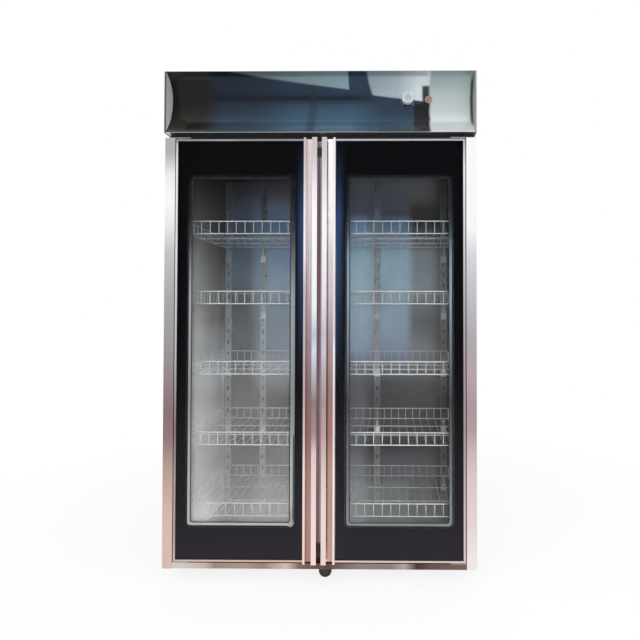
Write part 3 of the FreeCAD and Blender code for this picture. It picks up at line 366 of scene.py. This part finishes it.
BACK_INNER = [(0.19, "acb0b2"), (0.23, "888a92"), (0.37, "282b30"), (0.52, "4e4c50"), (0.68, "3c3e44"),
              (0.77, "6c7789"), (0.84, "8096b2"), (0.99, "8eacc0"), (1.15, "98b6cc"), (1.31, "9abed2"),
              (1.42, "7796b4"), (1.48, "54789f"), (1.52, "464a5c"), (1.62, "6c7086"), (1.68, "8a8c92")]
WALL_FRONT = [(0.20, "fdfdfd"), (0.30, "fdfdfd"), (0.41, "dcdbdb"), (0.55, "dedcda"), (0.68, "c8c7c9"),
              (0.81, "f9f8f6"), (0.87, "d6d5d6"), (1.01, "bcbcbe"), (1.14, "cccbc9"), (1.27, "a6a6a6"),
              (1.40, "585757"), (1.53, "383737"), (1.66, "363636")]
WALL_BACK = [(0.20, "fafafa"), (0.32, "a6a5a5"), (0.48, "989796"), (0.63, "969696"), (0.77, "eef4fa"),
             (0.85, "a6acb4"), (1.00, "202021"), (1.15, "70726e"), (1.30, "141513"), (1.45, "1c1c1c"),
             (1.60, "2c2c2c")]


def liner_steel():
    """Chamber sheet in painted light, shade and reflection: a back that is blue in its upper half and dark
    towards its sides, and pale walls.
    """
    p = Paint("liner_steel")
    wave = p.math("MULTIPLY", p.math("SUBTRACT", p.noise((2.5, 2.5, 1.8), 2), 0.5), 0.05)
    x = p.math("ADD", p.axis("X"), wave)
    z = p.math("ADD", p.axis("Z"), wave)
    back = p.mix(p.span(x, -0.16, 0.06, smooth=True), heights(p, z, BACK_LEFT), heights(p, z, BACK_MIDDLE))
    back = p.mix(p.span(x, 0.12, 0.19, smooth=True), back, heights(p, z, BACK_INNER))
    back = p.mix(p.span(x, 0.34, 0.39, smooth=True), back, heights(p, z, BACK_RIGHT))
    # painted shade: the back darkened towards the left wall, less so high up, and towards the right wall
    shade = p.span(x, -0.44, -0.36, p.span(z, 1.0, 1.25, 0.15, 0.5), 1.0, smooth=True)
    back = p.dimmed(back, p.math("MULTIPLY", shade, p.span(x, 0.45, 0.53, 1.0, 0.15, smooth=True)))
    deep = p.span(p.axis("Y"), -0.16, 0.16, smooth=True)
    wall = p.mix(deep, heights(p, z, WALL_FRONT), heights(p, z, WALL_BACK))
    p.feed("Base Color", p.mix(p.span(p.axis("X"), -0.546, -0.5475), back, wall))
    p.set(Metallic=0.2, Specular_IOR_Level=0.2)
    lines = p.noise((4, 4, 700), 3, 0.7)
    p.feed("Roughness", p.span(lines, 0.3, 0.7, 0.32, 0.42))
    p.bump(lines, 0.05, 0.0003)
    return p.material


# painted light and reflection along the uprights' height, for the left and the right of the chamber
UPRIGHT_LEFT = [(0.2, "e0e2e2"), (0.45, "989a9c"), (0.60, "8c8e92"), (0.78, "c4cad0"), (1.10, "a8b4bc"),
                (1.31, "7e90a0"), (1.40, "70849a"), (1.55, "5c6874")]
UPRIGHT_RIGHT = [(0.2, "d0d2d2"), (0.32, "949696"), (0.45, "68696b"), (0.66, "626468"), (0.78, "a2a8ae"),
                 (1.0, "9aa2a8"), (1.15, "a6b0b8"), (1.40, "8ca0b4"), (1.55, "6c7884")]


def upright_steel():
    """Slotted uprights: painted reflection, blue-grey towards the top, and painted shade, darker at the
    right side of the chamber.
    """
    p = Paint("upright_steel")
    x, z = p.axis("X"), p.axis("Z")
    colour = p.mix(p.span(x, -0.01, 0.01), heights(p, z, UPRIGHT_LEFT), heights(p, z, UPRIGHT_RIGHT))
    # painted shade: near black mixed in towards the chamber's right side
    p.feed("Base Color", p.mix(p.span(x, 0.35, 0.45, 0.0, 0.6), colour, (0.02, 0.02, 0.02)))
    p.set(Metallic=0.5)
    p.feed("Roughness", p.span(p.noise((60, 60, 60), 3), 0.3, 0.7, 0.25, 0.35))
    p.bump(p.noise((400, 400, 400), 2), 0.05, 0.0002)
    return p.material


def wire_chrome():
    p = Paint("wire_chrome")
    # painted shade: the wires a little darker towards the top of the chamber
    p.feed("Base Color", heights(p, p.axis("Z"), [(0.2, "f4f6f6"), (0.8, "eef0f2"), (1.45, "c8ced4")]))
    p.set(Metallic=0.55)
    p.feed("Roughness", p.span(p.noise((40, 40, 40), 3), 0.3, 0.7, 0.14, 0.26))
    p.bump(p.noise((400, 400, 400), 2), 0.05, 0.0002)
    return p.material


# painted reflection on the black print: lighter low down, navy towards the middle of the door pair
ENAMEL = [(0.1, "1d1a1f"), (0.3, "131115"), (0.5, "0c0b0e"), (0.9, "050507"), (1.7, "060608")]
ENAMEL_MIDDLE = [(0.1, "24222a"), (0.5, "151416"), (0.75, "0e0a0e"), (0.95, "1c2334"), (1.2, "2b3c56"),
                 (1.4, "2a3d60"), (1.55, "1a2436"), (1.7, "08080c")]


def enamel():
    """Black print behind the outer pane, with a painted navy sheen towards the middle and painted reflection
    lightening it low down.
    """
    p = Paint("black_enamel")
    z = p.axis("Z")
    inner = p.span(p.math("ABSOLUTE", p.axis("X")), 0.10, 0.06, smooth=True)
    p.feed("Base Color", p.mix(inner, heights(p, z, ENAMEL), heights(p, z, ENAMEL_MIDDLE)))
    p.feed("Roughness", p.span(p.noise((20, 20, 20), 2), 0.3, 0.7, 0.35, 0.45))
    p.set(Specular_IOR_Level=0.0)
    return p.material


# the mirror share's colour, dimmer upwards: painted shade on the panes' reflections
SHEEN = [(0.1, "ffffff"), (0.5, "e8e8ea"), (0.8, "9a9a9e"), (1.1, "78787c"), (1.7, "606064")]
LIGHT_FILM_TOP = 2.0      # metres, the height at the end of the painted light ramps
# painted light: how strongly each door's panes show a pale film, by height
LIGHT_FILM_LEFT = [(0.1, 0.17), (0.28, 0.15), (0.36, 0.10), (0.60, 0.075), (0.80, 0.065), (0.90, 0.05),
             (1.10, 0.03), (1.35, 0.008), (1.6, 0.0)]
LIGHT_FILM_RIGHT = [(0.1, 0.04), (0.30, 0.03), (0.37, 0.01), (0.50, 0.01), (0.70, 0.01), (0.85, 0.03),
              (1.10, 0.03), (1.35, 0.01), (1.6, 0.0)]
CLEAR = (0.988, 0.990, 0.989)       # what a pane lets through
LIGHT_FILM_COLOUR = (0.72, 0.72, 0.72, 1)        # the colour of the film of painted light


def light_film_share(p):
    """How much painted light a pane shows as a pale film: more low down, at the left door and towards that
    door's outer side.
    """
    height = p.math("MULTIPLY", p.axis("Z"), 1 / LIGHT_FILM_TOP)
    left, right = (p.ramp(height, [(at / LIGHT_FILM_TOP, (v, v, v)) for at, v in stops])
                   for stops in (LIGHT_FILM_LEFT, LIGHT_FILM_RIGHT))
    share = p.node("SeparateColor", {0: p.mix(p.span(p.axis("X"), -0.02, 0.02), left, right)}).outputs[0]
    light_patches = p.span(p.noise((5, 5, 4), 3), 0.3, 0.7, 0.8, 1.2)
    light_patches = p.math("MULTIPLY", light_patches, p.span(p.axis("X"), -0.36, -0.47, 1.0, 2.3, smooth=True))
    return p.math("MULTIPLY", share, light_patches)


def pane(name, mirror, with_light_film):
    """A clear pane: straight through, with a mirror share that grows towards grazing."""
    p = Paint(name)
    p.nodes.remove(p.shader)
    smudge = p.noise((9, 9, 6), 4, 0.6)
    colour = p.mix(p.span(smudge, 0.35, 0.7), CLEAR, tuple(t * 0.97 for t in CLEAR))
    through = p.node("BsdfTransparent", {"Color": colour}).outputs[0]
    # a pale diffuse film mixed into the pane: painted light on the chamber seen through it
    if with_light_film:
        light_film = p.node("BsdfDiffuse", {"Color": LIGHT_FILM_COLOUR}).outputs[0]
        through = p.node("MixShader", {0: light_film_share(p), 1: through, 2: light_film}).outputs[0]
    gloss = p.node("BsdfGlossy", {"Color": heights(p, p.axis("Z"), SHEEN), "Roughness": 0.02}).outputs[0]
    grazing = p.math("POWER", p.node("LayerWeight", {"Blend": 0.5}).outputs["Facing"], 5.0)
    share = p.span(grazing, 0.0, 1.0, mirror, 1.0)
    return p.finish(p.node("MixShader", {0: share, 1: through, 2: gloss}).outputs[0])


# painted light and shade on the window's edge band along its height, paler on the left door
BAND_LEFT = [(0.2, "ced0d0"), (0.4, "c6c8c8"), (0.7, "a2a6a6"), (0.85, "aeb2b4"), (1.09, "b8bec0"),
             (1.3, "6c7072"), (1.4, "3e4042"), (1.6, "2c2e30")]
BAND_RIGHT = [(0.2, "989ea0"), (0.4, "7c8088"), (0.7, "525459"), (0.85, "747a82"), (1.09, "9cacbc"),
              (1.25, "94aac0"), (1.36, "586470"), (1.45, "343844"), (1.6, "2c2e36")]


def edge_band():
    """Pale band along the window's edge in painted light and reflection: paler on the left door, darker and
    fainter towards the top.
    """
    p = Paint("edge_band")
    z = p.axis("Z")
    side = p.span(p.axis("X"), -0.01, 0.01)
    p.feed("Base Color", p.mix(side, heights(p, z, BAND_LEFT), heights(p, z, BAND_RIGHT)))
    p.feed("Roughness", p.span(p.noise((60, 60, 60), 3), 0.3, 0.7, 0.30, 0.42))
    p.set(Metallic=1.0)
    clear = p.node("BsdfTransparent", {"Color": (1, 1, 1, 1)}).outputs[0]
    share = p.span(z, 1.15, 1.45, 0.9, 0.35, smooth=True)
    return p.finish(p.node("MixShader", {0: share, 1: clear, 2: p.shader.outputs[0]}).outputs[0])


# painted highlight and reflection on the knob's face, by distance from its axis, brightest at the rim
KNOB_HIGHLIGHT_RINGS = [(0.0, "8c979f"), (0.007, "a4aeb6"), (0.010, "939da5"), (0.0135, "b4bec6"), (0.016, "7f898f"),
              (0.0185, "d6dce0"), (0.023, "f6f8fa")]
KNOB_X, KNOB_Z = 0.337, 1.877       # the knob's axis, at the height of the fascia's deepest line


def knob_metal():
    """Spun face: rings of painted highlight and reflection, lighter and darker about the knob's axis,
    brightest at the rim.
    """
    p = Paint("knob_metal")
    x = p.math("SUBTRACT", p.axis("X"), KNOB_X)
    z = p.math("SUBTRACT", p.axis("Z"), KNOB_Z)
    radius = p.math("SQRT", p.math("ADD", p.math("MULTIPLY", x, x), p.math("MULTIPLY", z, z)))
    return brushed(p, heights(p, radius, KNOB_HIGHLIGHT_RINGS), (500, 500, 500), 0.2, 0.03, 0.05, 0.7)


def red_lens():
    p = Paint("lamp_red")
    ribs = p.node("TexWave", {"Vector": p.scaled((1, 1, 1)), "Scale": 220.0, "Distortion": 0.5},
                  bands_direction="Z").outputs["Fac"]
    p.feed("Base Color", p.ramp(ribs, [(0.0, tone("543a3e")), (1.0, tone("7c6063"))]))
    p.set(Roughness=0.18, Coat_Weight=0.5, Coat_Roughness=0.08)
    p.bump(ribs, 0.25, 0.0004)
    return p.material


# painted reflections: the header trim's tones along its length, and the door frame's and trims' tones along
# their height
HEADER_TRIM = [(-0.54, "d2cec8"), (-0.44, "cab6ab"), (-0.40, "9c8c82"), (-0.29, "ae998c"), (-0.21, "978576"),
               (-0.13, "d8beae"), (-0.08, "826a5e"), (0.04, "644a42"), (0.15, "97837d"), (0.27, "937f79"),
               (0.325, "b8a59e"), (0.375, "4c3830"), (0.43, "6a5651"), (0.54, "78625c")]
DOOR_FRAME = [(0.12, "b89a98"), (0.25, "c8b4b8"), (0.5, "c4a8ac"), (0.8, "c0aab4"), (1.1, "b8a2aa"),
              (1.65, "aea4a6")]
TRIM_LEFT = [(0.09, "d8bcb2"), (0.2, "b3a2a3"), (0.4, "ada1a2"), (0.6, "8a7b7b"), (0.75, "a39fa0"),
             (0.9, "bcbbc2"), (1.27, "e4e3e8"), (1.6, "eaeaea"), (1.69, "c6c4c6"), (1.705, "94919a")]
TRIM_RIGHT = [(0.09, "e0cccb"), (0.3, "cdbdbd"), (0.6, "aa9c9d"), (0.8, "aa9aa2"), (1.0, "b0a8b0"),
              (1.3, "d0cfd8"), (1.6, "f0f0f4"), (1.705, "b8b8c4")]
# painted shade: the window spacer darkens towards the top
SPACER = [(0.2, "a4a8a8"), (0.9, "949a9a"), (1.25, "747a7c"), (1.4, "34373a"), (1.6, "141618")]


def make_materials():
    """Every paint, under the name of the slot or of the piece that takes it."""
    fine = (600, 600, 3)
    return {
        "brushed_skin": steel("brushed_skin", LEFT_POST_REFLECTIONS),
        "right_skin": steel("right_skin", RIGHT_POST_REFLECTIONS),
        "cheek_skin": cheek_skin(),
        "plain_skin": steel("plain_skin", [(0.0, "cfcdcd"), (2.0, "dcdcdd")]),
        "polished_trim": steel("polished_trim", HEADER_TRIM, (3, 700, 700), 0.14, 0.03, "X"),
        "frame_steel": steel("frame_steel", DOOR_FRAME, fine),
        "catch_black": plain("catch_black", (0.020, 0.020, 0.022), 0.5),
        "liner_steel": liner_steel(),
        "mineral_wool": plain("mineral_wool", (0.62, 0.54, 0.34), 0.95, scale=80, depth=0.6),
        "dark_plinth": plain("dark_plinth", (0.006, 0.007, 0.010), 0.5),
        "mirror_fascia": mirror_fascia(),
        "unit_white": plain("unit_white", (0.70, 0.70, 0.68), 0.35),
        "knob_metal": knob_metal(),
        "lamp_red": red_lens(),
        "lamp_rose": plain("lamp_rose", tone("8f6a6b"), 0.25),
        "quartz": plain("quartz", (0.78, 0.74, 0.68), 0.3),
        "zinc_plate": plain("zinc_plate", (0.56, 0.56, 0.54), 0.35, 1.0, 0.12, 200, 0.1),
        "caster_black": plain("caster_black", (0.018, 0.018, 0.020), 0.4, 0.0, 0.15, 120, 0.1),
        "wire_chrome": wire_chrome(),
        "upright_steel": upright_steel(),
        "wheel_black": plain("wheel_black", (0.016, 0.016, 0.018), 0.62, depth=0.2),
        "trim_left": steel("trim_left", TRIM_LEFT, fine, 0.2, 0.04),
        "trim_right": steel("trim_right", TRIM_RIGHT, fine, 0.2, 0.04),
        "outer_pane": pane("outer_pane", 0.012, False),
        "inner_pane": pane("inner_pane", 0.003, True),
        "spacer_alu": steel("spacer_alu", SPACER, fine, 0.3),
        "gasket_grey": plain("gasket_grey", (0.035, 0.033, 0.036), 0.6),
        "handle_left": handle_metal("handle_left", LIP_LEFT, GROOVE_LEFT, RIM_LEFT),
        "handle_right": handle_metal("handle_right", LIP_RIGHT, GROOVE_RIGHT, RIM_RIGHT),
        "enamel": enamel(),
        "line": plain("window_line", (0.004, 0.005, 0.006), 0.6),
        "band": edge_band(),
        "print_grey": plain("print_grey", (0.32, 0.34, 0.35), 0.5),
    }


# ---- mesh helpers -----------------------------------------------------------------

def keep(name, mesh, material, body):
    """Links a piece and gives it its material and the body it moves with."""
    piece = bpy.data.objects.new(name, mesh)
    scene.collection.objects.link(piece)
    mesh.materials.append(material)
    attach(piece, body)


def closed(name, shape):
    """The mesh of a finished shape, with its faces pointing outwards."""
    bmesh.ops.recalc_face_normals(shape, faces=shape.faces)
    mesh = bpy.data.meshes.new(name)
    shape.to_mesh(mesh)
    shape.free()
    return mesh


CORNER_STEPS = 8


def rounded(left, right, low, high, radius):
    """Corners of a rounded rectangle in X and Z, counter-clockwise."""
    points = []
    for cx, cz, start in ((right - radius, low + radius, -90), (right - radius, high - radius, 0),
                          (left + radius, high - radius, 90), (left + radius, low + radius, 180)):
        for step in range(CORNER_STEPS + 1):
            angle = math.radians(start + 90 * step / CORNER_STEPS)
            points.append((cx + radius * math.cos(angle), cz + radius * math.sin(angle)))
    return points


def ring_plate(name, outside, inside, front, rear):
    """A flat plate between two outlines with as many points each, from front to rear in Y."""
    shape = bmesh.new()
    loops = [[shape.verts.new((x, y, z)) for x, z in line]
             for y, line in ((front, outside), (front, inside), (rear, inside), (rear, outside))]
    count = len(outside)
    for a, b in zip(loops, loops[1:] + loops[:1]):
        for i in range(count):
            shape.faces.new((a[i], a[(i + 1) % count], b[(i + 1) % count], b[i]))
    return closed(name, shape)


def flipped(points, side):
    """An outline of the left door as it is, or mirrored for the right door."""
    return points if side < 0 else [(-x, z) for x, z in reversed(points)]


# ---- pieces that the frame doesn't have -------------------------------------------

# X and Z limits on the left door: the outer pane less a hair, and the clear window
SHEET = (-0.548, -0.062, 0.099, 1.698)
WINDOW = (-0.513, -0.096, 0.219, 1.574)
# Y of front and rear: the black print behind the outer pane, and the pale band and dark line behind the
# print
PRINT = (-0.2742, -0.2738)
BAND_AND_LINE_Y = (-0.2735, -0.2732)


def shrunk(box, by):
    return box[0] + by, box[1] - by, box[2] + by, box[3] - by


def door_prints(paint):
    """Black border on the outer pane, and inside the window a pale edge band of painted light and a thin
    dark line.
    """
    sheet = rounded(*SHEET, 0.0005)
    window = rounded(*WINDOW, 0.020)
    band = rounded(*shrunk(WINDOW, 0.0005), 0.0195)
    line_outside = rounded(*shrunk(WINDOW, 0.0165), 0.011)
    line_inside = rounded(*shrunk(WINDOW, 0.0200), 0.008)
    for side, name in ((-1, "left"), (1, "right")):
        for piece, key, outside, inside, planes in (
                ("border", "enamel", sheet, window, PRINT),
                ("band", "band", band, line_outside, BAND_AND_LINE_Y),
                ("line", "line", line_outside, line_inside, BAND_AND_LINE_Y)):
            mesh = ring_plate(piece + "_" + name, flipped(outside, side), flipped(inside, side), *planes)
            keep("door_" + piece + "_" + name, mesh, paint[key], "door_" + name)


# the concave fascia: its depth, and its reach below and above the deepest line
COVE_DEPTH, COVE_BELOW, COVE_ABOVE = 0.060, 0.142, 0.0868
COVE_Y = -0.2325        # Y of the deepest line


def sag(z):
    """How far the concave fascia stands in front of its deepest line at a height."""
    drop = z - KNOB_Z
    run = COVE_BELOW if drop < 0 else COVE_ABOVE
    radius = (run ** 2 + COVE_DEPTH ** 2) / (2 * COVE_DEPTH)
    return radius - math.sqrt(radius ** 2 - drop ** 2)


TICKS = 20              # steps between the first and the last of the dial's marks
TICK_START, TICK_SWEEP = 230, 280       # degrees, counter-clockwise from the right
TICK_RADIUS, TICK_THICK = 0.0255, 0.0006


def dial_marks(paint):
    """Fine ticks round the timer knob, standing on the fascia."""
    centre = Vector((KNOB_X, COVE_Y, KNOB_Z))
    ring = (0, 1, 3, 2)
    shape = bmesh.new()
    for step in range(TICKS + 1):
        angle = math.radians(TICK_START - TICK_SWEEP * step / TICKS)
        long, wide = (0.005, 0.0011) if step % 5 == 0 else (0.0032, 0.0007)
        out = Vector((math.cos(angle), 0, math.sin(angle)))
        across = Vector((-out.z, 0, out.x)) * wide / 2
        corners = [centre + out * radius + across * sign
                   for radius in (TICK_RADIUS, TICK_RADIUS + long) for sign in (-1, 1)]
        front = [shape.verts.new(c + Vector((0, -sag(c.z), 0))) for c in corners]
        back = [shape.verts.new(c + Vector((0, -sag(c.z) + TICK_THICK, 0))) for c in corners]
        shape.faces.new([front[i] for i in ring])
        shape.faces.new([back[i] for i in reversed(ring)])
        for a, b in zip(ring, ring[1:] + ring[:1]):
            shape.faces.new((front[b], front[a], back[a], back[b]))
    keep("dial_marks", closed("dial_marks", shape), paint["print_grey"], "cabinet")


SIDE_PAINT = {"door_trim": "trim", "handle_alu": "handle"}
NODE_PAINT = {"timer_knob": "knob_metal", "lamp_bezel": "lamp_rose", "shelf_uprights": "upright_steel"}


def paint_of(node, slot):
    """The paint of a carried-over node, from its name and its material slot."""
    side = "right" if node.endswith("right") else "left"
    if node in NODE_PAINT:
        return NODE_PAINT[node]
    if slot == "door_glass":
        return "outer_pane" if "outer" in node else "inner_pane"
    if slot in SIDE_PAINT:
        return SIDE_PAINT[slot] + "_" + side
    if slot == "brushed_skin" and "cheek" in node:
        return "cheek_skin"
    if slot == "brushed_skin" and side == "right":
        return "right_skin"
    return slot


def dress(paint):
    """Gives every carried-over node its material."""
    slots = {part["node"]: part["material_slot"] for part in frame["record"]["subparts"]}
    for name, thing in frame["nodes"].items():
        for place in thing.material_slots:
            place.material = paint[paint_of(name, slots[name])]


# ---- stage ------------------------------------------------------------------------

FLOOR_REACH = 14
FLOOR_PALE = 0.85


def floor_white():
    """White for the camera, for mirrors and through glass, and plain pale for the rest."""
    material = bpy.data.materials.new("floor_white")
    graph = Graph(material)
    graph.nodes.clear()
    pale = graph.node("BsdfDiffuse", {"Color": (FLOOR_PALE, FLOOR_PALE, FLOOR_PALE, 1)}).outputs[0]
    white = graph.node("Emission").outputs[0]
    place = graph.node("TexCoord").outputs["Object"]
    away = graph.node("VectorMath", {0: place}, operation="LENGTH").outputs["Value"]
    share = graph.math("MULTIPLY", graph.seen_white(), graph.span(away, 0.7, 2.4, 0.8, 1.0, smooth=True))
    mixed = graph.node("MixShader", {0: share, 1: pale, 2: white}).outputs[0]
    graph.node("OutputMaterial", {"Surface": mixed})
    return material


def add_stage():
    mesh = bpy.data.meshes.new("floor")
    corners = [(x * FLOOR_REACH, y * FLOOR_REACH, 0) for x, y in ((-1, -1), (1, -1), (1, 1), (-1, 1))]
    mesh.from_pydata(corners, [], [(0, 1, 2, 3)])
    floor = bpy.data.objects.new("floor", mesh)
    scene.collection.objects.link(floor)
    mesh.materials.append(floor_white())

    world = bpy.data.worlds.new("studio")
    scene.world = world
    graph = Graph(world)
    graph.nodes.clear()
    strength = graph.span(graph.seen_white(), 0.0, 1.0, 0.6, 1.0)
    sky = graph.node("Background", {"Color": (1, 1, 1, 1), "Strength": strength}).outputs[0]
    graph.node("OutputWorld", {"Surface": sky})


def add_lamps():
    for name, spot, aim, size, power in (
            ("key", (-1.8, -3.0, 3.0), (0, 0, 1.0), 2.2, 55),
            ("fill", (2.2, -2.8, 2.2), (0, 0, 0.9), 2.4, 63),
            ("front", (0.1, -4.2, 1.3), (0, 0, 0.7), 2.4, 88),
            ("top", (0, 0.2, 4.2), (0, 0, 1.0), 2.5, 25)):
        data = bpy.data.lights.new(name, "AREA")
        data.size = size
        data.energy = power
        lamp = bpy.data.objects.new(name, data)
        scene.collection.objects.link(lamp)
        lamp.location = spot
        lamp.visible_glossy = False
        lamp.rotation_euler = (Vector(aim) - Vector(spot)).to_track_quat("-Z", "Y").to_euler()


# ---- build ------------------------------------------------------------------------

add_camera()
add_stage()
add_lamps()
PAINT = make_materials()
dress(PAINT)
door_prints(PAINT)
dial_marks(PAINT)
